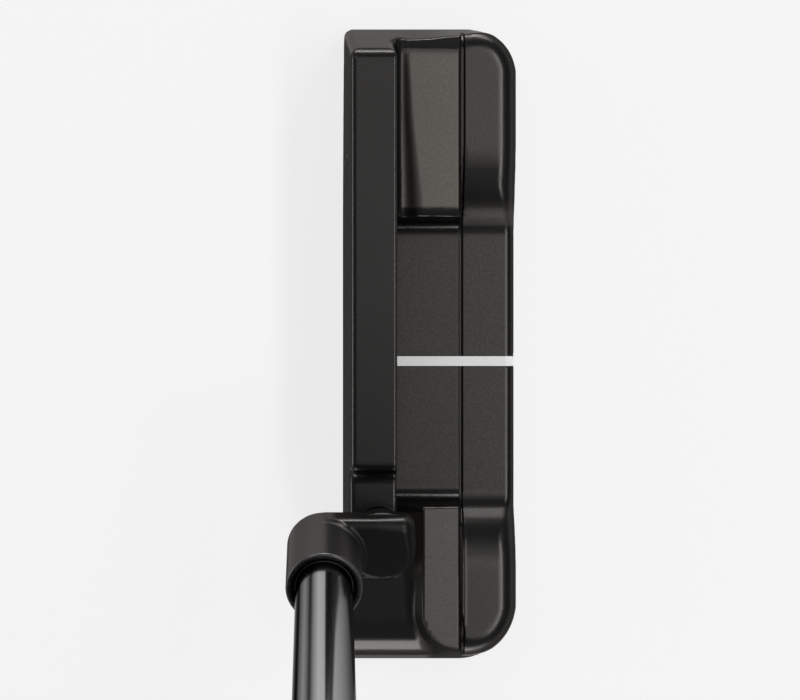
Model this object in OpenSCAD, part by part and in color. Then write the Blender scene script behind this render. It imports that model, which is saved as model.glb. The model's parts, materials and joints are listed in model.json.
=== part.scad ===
// Right-handed putter: heel-and-toe weighted blade, plumber's neck, steel shaft and wrapped grip.
// Frame: +X to the heel, +Y to the rear, +Z up; origin on the sole, under the sight line.

/* [Head] */
// Reach of the toe wall from the sight line, at its widest
toe_reach = 63.2; // [58:0.1:68]
// Reach of the heel wall from the sight line, at its widest
heel_reach = 56.8; // [56:0.1:62]
// Depth from the leading edge to the rear wall
head_depth = 32.5; // [31:0.1:36]
// Height at which the walls are widest
wide_z = 4; // [3:0.1:5]
// Inward lean of the toe and heel walls, in degrees
wall_draft = 18.7; // [12:0.1:20]
// Plan radius of the rear toe corner
toe_corner_r = 9; // [7.5:0.1:11]
// Plan radius of the rear heel corner
heel_corner_r = 10.5; // [8:0.1:12]
// Half length of the flat middle of the sole
sole_flat = 19; // [14:0.5:24]
// Heel-to-toe radius of the sole beyond the flat
sole_r = 245; // [200:5:300]

/* [Face] */
// Loft of the face, in degrees
loft = 3; // [1:0.5:5]
// Length of the face plate
insert_len = 76; // [60:1:84]
// Height of the face plate
insert_h = 15; // [12:0.5:16]
// Thickness of the face plate
insert_t = 3; // [2:0.1:3.6]
// Corner radius of the face plate
insert_r = 6; // [2:0.5:5.9]
// Height of the plate's centre up the face
insert_z = 12; // [11:0.5:13]
// Thickness of the adhesive behind the plate
insert_bond_t = 0.2; // [0.1:0.05:0.4]
// Gap round the edge of the plate
insert_gap = 0.08; // [0.02:0.01:0.2]

/* [Top line] */
// Height of the top line above the sole
top_z = 25; // [23:0.1:28]
// Thickness of the top line, from leading edge to its rear wall
top_depth = 9.65; // [9:0.05:11]
// Bevel along the edges of the top line
top_bevel = 0.5; // [0.2:0.05:0.9]
// Distance from the sight line to the step before the neck
step_x = 19.9; // [16:0.1:22]
// Drop of the step
step_drop = 4; // [2:0.1:6]
// Rounding of the step
step_r = 1.2; // [0.4:0.1:1.8]
// Rounding at the toe end of the top line
top_end_r = 1.9; // [0.5:0.1:2.5]

/* [Flange and pads] */
// Height of the flange floor
floor_z = 6.5; // [5.5:0.1:8]
// Height of the front pads
front_pad_z = 15; // [13.6:0.1:16]
// Height of the rear pads
rear_pad_z = 12.5; // [11:0.1:13]
// Foot of the front pads' end walls, from the sight line
pad_foot_x = 25.9; // [24:0.1:28]
// Lean of the front pads' end walls, as a run
pad_wall_run = 1.1; // [0.2:0.1:2]
// Rounding of the front pads' end walls
pad_edge_r = 1.5; // [0.5:0.1:2]
// Rounding at the foot of the front pads' walls
pad_foot_r = 2.3; // [0.5:0.1:3]
// Rounding of the front toe pad's edge beside the top line
pad_side_r = 2.4; // [1:0.1:2.6]
// Lean of the front pads' rear side, as a run
pad_side_run = 0.9; // [0.2:0.05:1.2]
// Rounding of the front toe pad's outer edge
toe_rim_r = 4.3; // [2:0.1:5]
// How far inside the toe's widest place that rounding ends
toe_rim_inset = 2; // [1:0.1:3]
// Rounding of the rear pads' outer rim
rear_rim_r = 3.75; // [1.5:0.05:4.5]
// Foot of the toe ramp, from the sight line
toe_ramp_foot = 25.2; // [24:0.1:27]
// Foot of the heel ramp, from the sight line
heel_ramp_foot = 27.3; // [25:0.1:28]
// Steepest angle of the toe ramp
toe_ramp_a = 43; // [40:1:50]
// Steepest angle of the heel ramp
heel_ramp_a = 51; // [46:1:56]
// Rounding at the foot of the toe ramp
toe_foot_r = 3.8; // [1:0.1:5]
// Rounding at the foot of the heel ramp
heel_foot_r = 5.5; // [1:0.1:6]
// Place of the accent groove, behind the middle of the head
groove_y = 6.1; // [5:0.1:7]
// Width of the accent groove
groove_w = 0.5; // [0.3:0.05:0.8]
// Depth of the accent groove
groove_t = 0.45; // [0.2:0.05:0.8]
// Width of the sight line
sight_w = 1.9; // [1.2:0.1:3]
// Depth of the sight line's slot
sight_t = 0.4; // [0.2:0.05:0.6]
// Lowest height of the sight line on the rear wall
sight_low_z = 4.5; // [4.2:0.1:5]

/* [Heel] */
// Height of the heel shelf where it leaves the neck
heel_shelf_z = 13.3; // [12.5:0.1:14]
// Slope of the heel shelf, in degrees
heel_slope = 8.5; // [4:0.5:12]
// Start of the heel shelf, from the sight line
heel_shelf_x = 40.2; // [39:0.1:42]
// Run of the drop from the neck's shelf to the heel shelf
heel_drop_run = 4.2; // [2:0.1:5]
// Rounding of the heel's outer end
heel_round_r = 7.4; // [4:0.1:7.6]
// Front edge of the heel pad, behind the middle of the head
heel_pad_y = -1; // [-1.2:0.1:0.5]
// Distance of the heel pad's end from the heel's widest place
heel_pad_inset = 5.1; // [4.8:0.1:7]
// Plan radius of the heel pad's outer corner
heel_pad_r = 5.5; // [3:0.1:6]
// Slope of the bevel round the heel pad, in degrees
heel_bevel_a = 56; // [50:1:66]

/* [Neck] */
// Lie angle, from the ground to the shaft
lie = 70; // [68:0.5:73]
// Distance of the shaft line from the sight line, on the ground
shaft_x = 16.5; // [14:0.1:18]
// Distance of the shaft line in front of the leading edge
shaft_ahead = 3.55; // [3:0.05:4.5]
// Outer diameter of the hosel
hosel_d = 12.6; // [12.2:0.1:13.4]
// Distance along the shaft line from the ground to the hosel's rim
hosel_top = 59.6; // [58:0.1:64]
// Length of the hosel
hosel_len = 16.3; // [15:0.1:17]
// Thickness left under the shaft bore
hosel_floor = 1.5; // [1:0.1:2]
// Chamfer of the hosel's rim
rim_chamfer = 0.6; // [0.2:0.05:0.9]
// Thickness of the arm between hosel and post
arm_t = 4.2; // [4:0.1:5.2]
// Width of the arm
arm_w = 10.6; // [10:0.1:10.8]
// How far the arm's toe side lies inside the hosel's
arm_inset = 0.1; // [0.05:0.05:0.6]
// Plan radius of the arm's rear toe corner
arm_corner_r = 2.2; // [1:0.1:4]
// Rounding along the top of the arm's toe side
arm_edge_r = 1.6; // [0.6:0.1:1.9]
// Diameter of the upright post
post_d = 9.4; // [8.6:0.1:9.8]
// Distance of the post behind the shaft line
post_back = 9.9; // [9:0.1:10.5]
// Widening of the post's foot, on the radius
post_flare = 2; // [0.5:0.1:3]
// Height of the widened foot
post_flare_h = 4.5; // [2:0.1:6]

/* [Shaft] */
// Length of the club along the shaft line, ground to butt end
club_len = 864; // [800:1:920]
// Diameter of the shaft's tip
tip_d = 9.4; // [9:0.05:9.8]
// Diameter of the shaft's butt
butt_d = 14.7; // [13:0.1:15.5]
// Wall of the shaft's tube
shaft_wall = 0.45; // [0.35:0.05:1]
// Length of the straight tip above the hosel
tip_straight = 60; // [40:5:150]
// Thickness of the adhesive between shaft and bore
shaft_bond_t = 0.1; // [0.05:0.05:0.2]

/* [Grip] */
// Length of the grip
grip_len = 268; // [230:1:320]
// Radius of the grip at its lower end
grip_low_r = 11; // [10.5:0.1:13]
// Largest radius of the grip, at the back of the butt end
grip_top_r = 15.5; // [14:0.1:18]
// Distance of the flat thumb side from the shaft line, lower end
flat_low = 10; // [9.9:0.1:10.4]
// Distance of the flat thumb side from the shaft line, butt end
flat_top = 12.2; // [11.5:0.1:13.5]
// Thickness of the grip's skin
skin_t = 1.4; // [1:0.1:1.8]
// Thickness of the tape under the grip
tape_t = 0.2; // [0.1:0.05:0.4]
// Length of the moulded collar at the lower end
collar_len = 7; // [4:0.5:12]
// Thickness of the butt cap
cap_t = 3; // [2:0.1:5]
// Diameter of the vent hole in the butt cap
vent_d = 3; // [2:0.1:5]

/* [Sole weights] */
// Distance of the toe weight from the toe wall's widest place
toe_weight_inset = 19.2; // [16:0.1:21]
// Distance of the heel weight from the heel wall's widest place
heel_weight_inset = 14.8; // [13:0.1:17]
// Place of both weights behind the middle of the head
weight_y = 3; // [2:0.1:4]
// Diameter of the weight's flange
weight_d = 14; // [13:0.1:15]
// Thickness of the weight's flange
weight_flange_t = 1.8; // [1.4:0.1:2.2]
// Diameter of the weight's threaded shank
shank_d = 10.5; // [9.5:0.1:11]
// Length of the threaded shank
shank_len = 5; // [4:0.1:6]
// Running clearance of the shank, on the radius
shank_gap = 0.06; // [0.03:0.01:0.1]
// Free gap round the flange and above the shank
flange_gap = 0.3; // [0.2:0.05:0.5]
// Thickness of the sealing washer
seal_t = 0.6; // [0.4:0.1:1]
// Width across the flats of the hexagon socket
socket_w = 4; // [3:0.5:5]
// Depth of the hexagon socket
socket_t = 3; // [2:0.1:4]

/* [Hidden] */
$fn = 64;
// Overlap where one cut has to run past a face
over = 1;
// Size of a cutting block larger than the head
far = 90;
// Share of the largest rounding that fits which a rounding takes
round_share = 0.98;
lead_y = -head_depth / 2;
rear_y = head_depth / 2;
wall_y = lead_y + top_depth;
shelf_z = top_z - step_drop;
toe_x = -toe_reach + toe_corner_r;
heel_x = heel_reach - heel_corner_r;
tilt = 90 - lie;
shaft_y = lead_y - shaft_ahead;
tip_r = tip_d / 2;
bore_r = tip_r + shaft_bond_t;
hosel_low = hosel_top - hosel_len;
bore_low = hosel_low + hosel_floor;
arm_toe = -(hosel_d / 2 - arm_inset);
post_y = shaft_y + post_back;
// Middle of the arm, across the shaft line
arm_mid = arm_toe + arm_w / 2;
arm_mid_t = hosel_low + arm_t / 2;
post_x = shaft_x + arm_mid_t * sin(tilt) + arm_mid * cos(tilt);
post_top = arm_mid_t * cos(tilt) - arm_mid * sin(tilt);
butt_r = butt_d / 2;
grip_low = club_len - grip_len;
tip_end = hosel_top + tip_straight;
shaft_top = club_len - cap_t;
tape_r = butt_r + tape_t;
toe_weight_x = toe_reach - toe_weight_inset;
heel_weight_x = heel_reach - heel_weight_inset;
port_r = weight_d / 2 + flange_gap;
port_shoulder = weight_flange_t + seal_t;
port_depth = port_shoulder + shank_len + flange_gap;

// How far a leaning wall has moved in at a height
function lean(z) = (z - wide_z) * tan(wall_draft);

// Height of the sole at a distance from the sight line
function sole_at(x) = x < sole_flat ? 0 : sole_r - sqrt(pow(sole_r, 2) - pow(x - sole_flat, 2));

// Lean of the sole at a distance from the sight line, in degrees
function sole_lean(x) = x < sole_flat ? 0 : asin((x - sole_flat) / sole_r);

// Radius of a ramp's long crown, above its foot rounding, for a rise and steepest angle
function crown_r(rise, angle, foot_r) =
    round_share * (rise / sin(angle) - foot_r * tan(angle / 2)) / tan(angle / 2);

// Points of the arc that rounds corner b between a and c, where b holds its radius
function arc(a, b, c, steps) =
    let (
        p = [b[0], b[1]],
        to_a = [a[0], a[1]] - p,
        to_c = [c[0], c[1]] - p,
        u = to_a / norm(to_a),
        w = to_c / norm(to_c),
        half = acos(u * w) / 2,
        mid = (u + w) / norm(u + w),
        centre = p + mid * b[2] / sin(half),
        start = p + u * b[2] / tan(half) - centre,
        stop = p + w * b[2] / tan(half) - centre,
        from = atan2(start[1], start[0]),
        turn = atan2(start[0] * stop[1] - start[1] * stop[0], start * stop)
    )
    [for (i = [0 : steps]) centre + b[2] * [cos(from + turn * i / steps), sin(from + turn * i / steps)]];

// Outline through corners given as [x, y, radius]
function rounded(corners, steps = 6) =
    let (n = len(corners))
    [for (i = [0 : n - 1])
        each corners[i][2] > 0
            ? arc(corners[(i + n - 1) % n], corners[i], corners[(i + 1) % n], steps)
            : [[corners[i][0], corners[i][1]]]];

// A side view, X to the right and Z up, given depth from y0 to y1
module side_slab(y0, y1, points) {
    translate([0, y1, 0]) rotate([90, 0, 0]) linear_extrude(y1 - y0) polygon(points);
}

// An end view, Y to the right and Z up, given length from x0 to x1
module end_slab(x0, x1, points) {
    translate([x0, 0, 0]) rotate([90, 0, 90]) linear_extrude(x1 - x0) polygon(points);
}

// Frame on the shaft line: local Z up the shaft, local X towards the heel
module on_shaft(t) {
    translate([shaft_x, shaft_y, 0]) rotate([0, tilt, 0]) translate([0, 0, t]) children();
}

// Frame on the face: local Z out of the face, local Y up the face
module on_face() {
    translate([0, lead_y, 0]) rotate([90 - loft, 0, 0]) children();
}

// Frame on the sole at a weight: local Z up into the head
module on_port(x) {
    side = sign(x);
    translate([x, weight_y, sole_at(abs(x))]) rotate([0, -side * sole_lean(abs(x)), 0]) children();
}

// What lies outside a rounded edge between a wall at a reach and a level top
function rim_outside(reach, top, r) = concat(
    arc([reach, 0], [reach, top, r], [0, top], 6),
    [[reach - r, top + over], [reach + 2 * over, top + over], [reach + 2 * over, top - r]]);

// Outline of the upright outer wall with its rounded foot, from an axis to a reach, up to a height
function wall_outline(reach, top) = rounded([
    [0, 0, 0], [reach, 0, wide_z * round_share], [reach, top, 0], [0, top, 0]]);

// The head's upright outer walls, before its ends and top are shaped
module outer_walls() {
    low_top = front_pad_z + over;
    high_top = top_z + over;
    end_slab(toe_x, heel_x, wall_outline(rear_y, low_top));
    mirror([1, 0, 0])
        side_slab(-far, rear_y - toe_corner_r, wall_outline(toe_reach, high_top));
    side_slab(-far, rear_y - heel_corner_r, wall_outline(heel_reach, high_top));
    translate([toe_x, rear_y - toe_corner_r, 0]) rotate([0, 0, 90])
        rotate_extrude(angle = 90) polygon(wall_outline(toe_corner_r, low_top));
    translate([heel_x, rear_y - heel_corner_r, 0])
        rotate_extrude(angle = 90) polygon(wall_outline(heel_corner_r, low_top));
}

// Leaning planes of the toe and heel ends
module end_planes() {
    top = top_z + 2 * over;
    side_slab(-far, far, [
        [-toe_reach + lean(-over), -over], [heel_reach - lean(-over), -over],
        [heel_reach - lean(top), top], [-toe_reach + lean(top), top]]);
}

// Rounds the outer rim of the rear pads, along the back and round both corners
module rear_rim_cut() {
    end_slab(toe_x, heel_x, rim_outside(rear_y, rear_pad_z, rear_rim_r));
    translate([toe_x, rear_y - toe_corner_r, 0]) rotate([0, 0, 90])
        rotate_extrude(angle = 90) polygon(rim_outside(toe_corner_r, rear_pad_z, rear_rim_r));
    translate([heel_x, rear_y - heel_corner_r, 0])
        rotate_extrude(angle = 90) polygon(rim_outside(heel_corner_r, rear_pad_z, rear_rim_r));
}

// Cambered sole with a flat middle
module sole_limit() {
    reach = toe_reach + over;
    steps = 10;
    toe = [for (i = [steps : -1 : 1]) let (x = sole_flat + (reach - sole_flat) * i / steps) [-x, sole_at(x)]];
    heel = [for (i = [1 : steps]) let (x = sole_flat + (reach - sole_flat) * i / steps) [x, sole_at(x)]];
    side_slab(-far, far,
        concat([[-reach, far]], toe, [[-sole_flat, 0], [sole_flat, 0]], heel, [[reach, far]]));
}

// Everything in front of the face
module face_cut() {
    on_face() translate([-far, -far, 0]) cube([2 * far, far + top_z + over, far]);
}

// Top line with its step, and the shelf that carries the neck
module top_line() {
    r = min(step_r, round_share * step_drop / 2);
    side_slab(-far, wall_y, rounded([
        [-far, -over, 0], [-far, top_z, 0], [step_x, top_z, r], [step_x, shelf_z, r],
        [heel_shelf_x - heel_drop_run, shelf_z, r], [heel_shelf_x, heel_shelf_z, 0],
        [heel_shelf_x, -over, 0]]));
}

// Rounds the toe end of the top line
module top_end_cut() {
    corner_x = -toe_reach + lean(top_z);
    side_slab(-far, wall_y + over, concat(
        arc([-toe_reach, wide_z], [corner_x, top_z, top_end_r], [0, top_z], 6),
        [[corner_x + 2 * top_end_r, top_z + over], [corner_x - 2 * over, top_z + over],
            [corner_x - 2 * over, top_z - 2 * top_end_r]]));
}

// Sloping shelf outside the neck, rounded over the heel
module heel_shelf() {
    fall = tan(heel_slope);
    inward = tan(wall_draft);
    // Corner where the shelf's slope meets the leaning heel wall
    edge_x = (heel_reach - (heel_shelf_z + heel_shelf_x * fall - wide_z) * inward) / (1 - fall * inward);
    edge_z = heel_shelf_z - (edge_x - heel_shelf_x) * fall;
    out_x = heel_reach + over;
    side_slab(-far, groove_y - groove_w / 2, concat(
        [[pad_foot_x + pad_wall_run, -over], [pad_foot_x + pad_wall_run, heel_shelf_z],
            [heel_shelf_x, heel_shelf_z]],
        arc([heel_shelf_x, heel_shelf_z], [edge_x, edge_z, heel_round_r], [heel_reach, wide_z], 10),
        [[out_x, wide_z - over], [out_x, -over]]));
}

// Front half of the flange with the tall pads at toe and heel
module front_pads() {
    top_x = pad_foot_x + pad_wall_run;
    difference() {
        side_slab(wall_y - over, groove_y - groove_w / 2, rounded([
            [-far, -over, 0], [-far, front_pad_z, 0], [-top_x, front_pad_z, pad_edge_r],
            [-pad_foot_x, floor_z, pad_foot_r], [pad_foot_x, floor_z, pad_foot_r],
            [top_x, front_pad_z, pad_edge_r], [far, front_pad_z, 0], [far, -over, 0]]));
        pad_side_cut();
        pad_rear_cut();
        mirror([1, 0, 0]) side_slab(wall_y - 2 * over, groove_y,
            rim_outside(toe_reach - toe_rim_inset, front_pad_z, toe_rim_r));
        heel_bevel_cut();
    }
}

// Leans the front pads' rear side, down to the groove's bed
module pad_rear_cut() {
    foot_y = groove_y - groove_w / 2;
    foot_z = rear_pad_z - groove_t;
    end_slab(-far - over, far + over, [
        [foot_y, foot_z], [foot_y - pad_side_run, front_pad_z],
        [foot_y - pad_side_run, front_pad_z + over], [foot_y + over, front_pad_z + over],
        [foot_y + over, foot_z]]);
}

// Rounds the toe pad's edge beside the top line
module pad_side_cut() {
    low = front_pad_z - pad_side_r;
    side_y = wall_y + top_bevel + pad_side_r;
    difference() {
        end_slab(-far - over, -pad_foot_x - pad_wall_run / 2, [
            [wall_y - 2 * over, low], [side_y, low], [side_y, far], [wall_y - 2 * over, far]]);
        translate([-far - 2 * over, side_y, low]) rotate([0, 90, 0]) cylinder(h = far + over, r = pad_side_r);
    }
}

// What lies outside the heel pad's bevel, at a distance from an axis
function bevel_outside(edge) =
    let (run = (front_pad_z - floor_z) / tan(heel_bevel_a), back = over / tan(heel_bevel_a))
    [[edge + run, floor_z], [edge - back, front_pad_z + over], [far, front_pad_z + over], [far, floor_z]];

// Bevels the heel pad along its front, round its corner and along its end
module heel_bevel_cut() {
    end_x = heel_reach - heel_pad_inset - heel_pad_r;
    end_y = heel_pad_y + heel_pad_r;
    translate([0, end_y, 0]) mirror([0, 1, 0])
        end_slab(pad_foot_x - over, end_x, bevel_outside(heel_pad_r));
    translate([end_x, end_y, 0]) rotate([0, 0, -90])
        rotate_extrude(angle = 90) polygon(bevel_outside(heel_pad_r));
    translate([end_x, 0, 0]) side_slab(end_y, groove_y, bevel_outside(heel_pad_r));
}

// Side view of the rear half of the flange: low pads, each with a ramp of short foot and long crown
function rear_profile(drop) =
    let (
        rise = rear_pad_z - floor_z,
        toe_top = toe_ramp_foot + rise / tan(toe_ramp_a),
        heel_top = heel_ramp_foot + rise / tan(heel_ramp_a)
    )
    rounded([
        [-far, -over, 0], [-far, rear_pad_z - drop, 0],
        [-toe_top, rear_pad_z - drop, crown_r(rise, toe_ramp_a, toe_foot_r)],
        [-toe_ramp_foot, floor_z - drop, toe_foot_r], [heel_ramp_foot, floor_z - drop, heel_foot_r],
        [heel_top, rear_pad_z - drop, crown_r(rise, heel_ramp_a, heel_foot_r)],
        [far, rear_pad_z - drop, 0], [far, -over, 0]], 12);

// Bevels both long edges of the top line
module top_bevels() {
    front_y = lead_y + top_z * tan(loft);
    low = top_z - top_bevel - over;
    high = top_z + over;
    end_slab(-far, step_x + over, [
        [wall_y + over, low], [wall_y + over, high], [wall_y - top_bevel - over, high]]);
    end_slab(-far, step_x + over, [
        [front_y - over, low], [front_y + top_bevel + over, high], [front_y - over, high]]);
}

// Slot of the sight line: over the floor and down the rear wall
function sight_outline(proud) =
    let (low = floor_z - sight_t)
    [
        [wall_y, low], [wall_y, floor_z + proud], [rear_y + proud, floor_z + proud],
        [rear_y + proud, sight_low_z], [rear_y - sight_t, sight_low_z], [rear_y - sight_t, low]];

// Outline of the face plate, smaller all round by a gap
function insert_outline(gap) =
    let (x = insert_len / 2 - gap, y = insert_h / 2 - gap, r = insert_r - gap)
    rounded([[-x, -y, r], [x, -y, r], [x, y, r], [-x, y, r]], 8);

// A plate of the insert's outline, between two depths behind the face
module behind_face(gap, near, deep) {
    on_face() translate([0, insert_z, -deep]) linear_extrude(deep - near) polygon(insert_outline(gap));
}

// Stepped port for a sole weight
module weight_port(x) {
    on_port(x) {
        translate([0, 0, -3 * over]) cylinder(h = port_shoulder + 3 * over, r = port_r);
        cylinder(h = port_depth, r = shank_d / 2 + shank_gap);
    }
}

// Upright post with a widened foot
module neck_post() {
    foot_z = floor_z;
    translate([post_x, post_y, foot_z]) {
        cylinder(h = post_top - foot_z, d = post_d);
        cylinder(h = shelf_z + post_flare_h - foot_z, r1 = post_d / 2 + post_flare, r2 = post_d / 2);
    }
}

// Arm and hosel, square to the shaft line
module neck_arm() {
    on_shaft(hosel_low) {
        cylinder(h = hosel_len - rim_chamfer, d = hosel_d);
        translate([0, 0, hosel_len - rim_chamfer])
            cylinder(h = rim_chamfer, r1 = hosel_d / 2, r2 = hosel_d / 2 - rim_chamfer);
        difference() {
            linear_extrude(arm_t) polygon(rounded([
                [arm_toe, 0, 0], [arm_toe + arm_w, 0, 0],
                [arm_toe + arm_w, post_back + arm_w / 2, round_share * arm_w / 2],
                [arm_toe, post_back + arm_w / 2, arm_corner_r]], 8));
            mirror([1, 0, 0]) side_slab(-over, post_back + arm_w, rim_outside(-arm_toe, arm_t, arm_edge_r));
        }
    }
}

// Hole for the shaft and its adhesive
module shaft_bore() {
    on_shaft(bore_low) cylinder(h = hosel_top - bore_low + over, r = bore_r);
    on_shaft(hosel_top - rim_chamfer)
        cylinder(h = 2 * rim_chamfer, r1 = bore_r, r2 = bore_r + 2 * rim_chamfer);
}

// Head without its cuts
module head_solid() {
    difference() {
        union() {
            intersection() {
                outer_walls();
                end_planes();
                sole_limit();
                union() {
                    top_line();
                    heel_shelf();
                    front_pads();
                    side_slab(groove_y - groove_w, groove_y + groove_w, rear_profile(groove_t));
                    side_slab(groove_y + groove_w / 2, far, rear_profile(0));
                }
            }
            neck_post();
        }
        face_cut();
        top_bevels();
        top_end_cut();
        rear_rim_cut();
    }
    neck_arm();
}

// One-piece steel head with the plumber's neck
module head_body() {
    color("#26241f") difference() {
        head_solid();
        behind_face(0, -over, insert_t + insert_bond_t);
        end_slab(-sight_w / 2, sight_w / 2, sight_outline(over));
        weight_port(-toe_weight_x);
        weight_port(heel_weight_x);
        shaft_bore();
    }
}

// Face plate, flush with the face
module face_insert() {
    color("#3a3a3c") behind_face(insert_gap, 0, insert_t);
}

// Adhesive pad behind the face plate
module insert_bond() {
    color("#c8bb8a") behind_face(insert_gap, insert_t, insert_t + insert_bond_t);
}

// White paint in the sight line's slot
module sight_line() {
    color("#e2e2de") end_slab(-sight_w / 2, sight_w / 2, sight_outline(0));
}

// Sole weight with flange, shank and hexagon socket
module sole_weight(x) {
    color("#55565a") on_port(x) difference() {
        union() {
            cylinder(h = weight_flange_t, d = weight_d);
            cylinder(h = port_shoulder + shank_len, d = shank_d);
        }
        translate([0, 0, -over]) cylinder(h = socket_t + over, d = socket_w / cos(30), $fn = 6);
    }
}

// Washer between a weight's flange and the port's shoulder
module weight_seal(x) {
    color("#1a1a1a") on_port(x) translate([0, 0, weight_flange_t]) difference() {
        cylinder(h = seal_t, d = weight_d);
        translate([0, 0, -over]) cylinder(h = seal_t + 2 * over, r = shank_d / 2 + shank_gap);
    }
}

module toe_weight() { sole_weight(-toe_weight_x); }
module toe_weight_seal() { weight_seal(-toe_weight_x); }
module heel_weight() { sole_weight(heel_weight_x); }
module heel_weight_seal() { weight_seal(heel_weight_x); }

// Tapered steel tube from the bore's floor to the butt cap
module shaft() {
    color("#2c2c30") on_shaft(0) rotate_extrude() polygon([
        [tip_r - shaft_wall, bore_low], [tip_r, bore_low], [tip_r, tip_end], [butt_r, grip_low],
        [butt_r, shaft_top], [butt_r - shaft_wall, shaft_top], [butt_r - shaft_wall, grip_low],
        [tip_r - shaft_wall, tip_end]]);
}

// Adhesive sleeve round the shaft's tip
module shaft_bond() {
    color("#b9a778") on_shaft(bore_low) difference() {
        cylinder(h = hosel_top - rim_chamfer - bore_low, r = bore_r);
        translate([0, 0, -over]) cylinder(h = hosel_top, r = tip_r);
    }
}

// Side view of the grip, less by a gap: a slim lower end that swells towards the back of the hand
function grip_outline(gap, low, high) =
    let (steps = 16, swell = grip_top_r - grip_low_r)
    [for (i = [0 : steps])
        let (t = low + (high - low) * i / steps, s = (t - grip_low) / grip_len)
        [grip_low_r + swell * (0.5 - 0.5 * cos(180 * s)) - gap, t]];

// A round grip with a flat thumb side, from the shaft line outwards
module grip_form(gap, low, high) {
    outline = grip_outline(gap, low, high);
    flat = atan2(flat_top - flat_low, grip_len);
    intersection() {
        rotate_extrude() polygon(concat([[0, low]], outline, [[0, high]]));
        translate([-(flat_low - gap), -far, grip_low]) rotate([0, -flat, 0])
            translate([0, 0, -grip_len]) cube([far, 2 * far, 3 * grip_len]);
    }
}

// Tape that holds the grip on the shaft
module grip_tape() {
    color("#d8d2c0") on_shaft(grip_low) difference() {
        cylinder(h = shaft_top - grip_low, r = tape_r);
        translate([0, 0, -over]) cylinder(h = grip_len, r = butt_r);
    }
}

// Foam body of the grip
module grip_core() {
    color("#8a8a86") on_shaft(0) difference() {
        grip_form(skin_t, grip_low + collar_len, shaft_top);
        translate([0, 0, grip_low]) cylinder(h = grip_len, r = tape_r);
    }
}

// Wrapped outer skin of the grip
module grip_skin() {
    color("#1d1d1f") on_shaft(0) difference() {
        grip_form(0, grip_low + collar_len, shaft_top);
        grip_form(skin_t, grip_low + collar_len - over, shaft_top + over);
    }
}

// Moulded ring that closes the grip's lower end
module grip_collar() {
    color("#141415") on_shaft(0) difference() {
        grip_form(0, grip_low, grip_low + collar_len);
        translate([0, 0, grip_low - over]) cylinder(h = grip_len, r = tape_r);
    }
}

// Butt cap with its vent hole
module grip_cap() {
    color("#141415") on_shaft(0) difference() {
        grip_form(0, shaft_top, club_len);
        translate([0, 0, shaft_top - over]) cylinder(h = cap_t + 2 * over, d = vent_d);
    }
}

head_body();
face_insert();
insert_bond();
sight_line();
toe_weight();
toe_weight_seal();
heel_weight();
heel_weight_seal();
shaft();
shaft_bond();
grip_tape();
grip_core();
grip_skin();
grip_collar();
grip_cap();
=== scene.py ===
import json
import math

import bpy
import numpy as np
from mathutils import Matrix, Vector


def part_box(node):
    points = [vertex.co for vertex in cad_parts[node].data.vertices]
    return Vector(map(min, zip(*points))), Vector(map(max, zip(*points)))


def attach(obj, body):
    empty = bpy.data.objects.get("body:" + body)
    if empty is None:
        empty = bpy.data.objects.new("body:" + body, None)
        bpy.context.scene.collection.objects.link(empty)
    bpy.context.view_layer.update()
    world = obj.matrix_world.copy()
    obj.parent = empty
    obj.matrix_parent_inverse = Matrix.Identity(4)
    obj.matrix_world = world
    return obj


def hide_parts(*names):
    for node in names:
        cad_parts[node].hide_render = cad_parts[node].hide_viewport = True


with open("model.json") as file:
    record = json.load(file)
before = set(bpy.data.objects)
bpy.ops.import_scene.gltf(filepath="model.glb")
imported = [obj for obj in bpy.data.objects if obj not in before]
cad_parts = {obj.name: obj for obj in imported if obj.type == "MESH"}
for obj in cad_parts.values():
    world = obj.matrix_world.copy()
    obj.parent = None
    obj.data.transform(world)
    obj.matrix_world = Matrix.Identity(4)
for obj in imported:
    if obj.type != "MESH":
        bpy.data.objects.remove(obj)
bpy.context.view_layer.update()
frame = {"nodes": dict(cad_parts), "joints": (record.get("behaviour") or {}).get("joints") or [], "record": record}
mm = 0.001  # forms below are in millimetres, Blender is in metres
print("frame loaded:", ", ".join(sorted(frame["nodes"])))


def boxOf(node):
    low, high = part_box(node)
    return np.array(low) / mm, np.array(high) / mm


# the shaft line comes from the vent hole in the butt cap
vent = next(m for m in frame["record"]["mounts"] if m["name"] == "vent")
shaftAxis = np.array(vent["axis"])
ventAt = np.array(vent["pos_m"]) / mm
shaftFoot = ventAt - shaftAxis * ventAt[2] / shaftAxis[2]  # where the line meets the ground
shaftSide = np.array([shaftAxis[2], 0, -shaftAxis[0]])  # across the line, to the heel


# shader graphs
class Wire:
    def __init__(self, finish, socket):
        self.finish, self.socket = finish, socket

    def pick(self, output):
        return Wire(self.finish, self.socket.node.outputs[output])

    def math(self, operation, first, second):
        return self.finish.add("ShaderNodeMath", {"operation": operation}, {0: first, 1: second})

    def __add__(self, other): return self.math("ADD", self, other)
    def __radd__(self, other): return self.math("ADD", other, self)
    def __sub__(self, other): return self.math("SUBTRACT", self, other)
    def __mul__(self, other): return self.math("MULTIPLY", self, other)
    def __rmul__(self, other): return self.math("MULTIPLY", other, self)
    def __truediv__(self, other): return self.math("DIVIDE", self, other)
    def __pow__(self, other): return self.math("POWER", self, other)


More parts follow.
